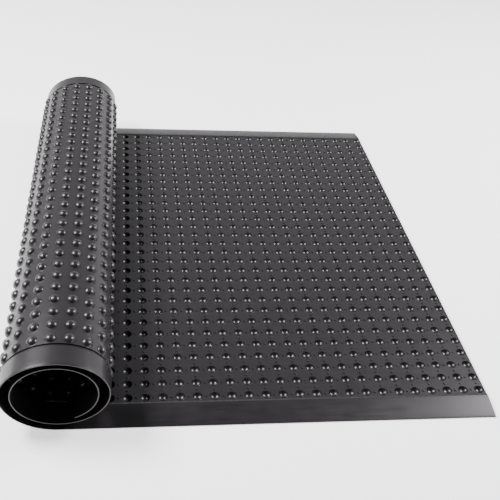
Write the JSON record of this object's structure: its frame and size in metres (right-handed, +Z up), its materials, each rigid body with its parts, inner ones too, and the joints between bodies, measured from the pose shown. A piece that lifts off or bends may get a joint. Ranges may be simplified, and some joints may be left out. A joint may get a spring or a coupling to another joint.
{
  "type": "rubber bubble mat",
  "caption": "Flexible moulded rubber floor mat with a field of hollow bubbles and plain border strips, one end rolled up and the rest lying flat.",
  "frame": {"origin": "middle of the box around the mat, on the floor", "axes": "+X along the flat sheet away from the roll, to the cut end; +Y across the sheet's width, towards its back border; +Z up"},
  "size_m": [0.7788, 0.9, 0.1451],
  "materials": {
    "rubber": "satin moulded black rubber"
  },
  "bodies": {
    "root": {"bubble_mat": "rubber"}
  },
  "joints": []
}
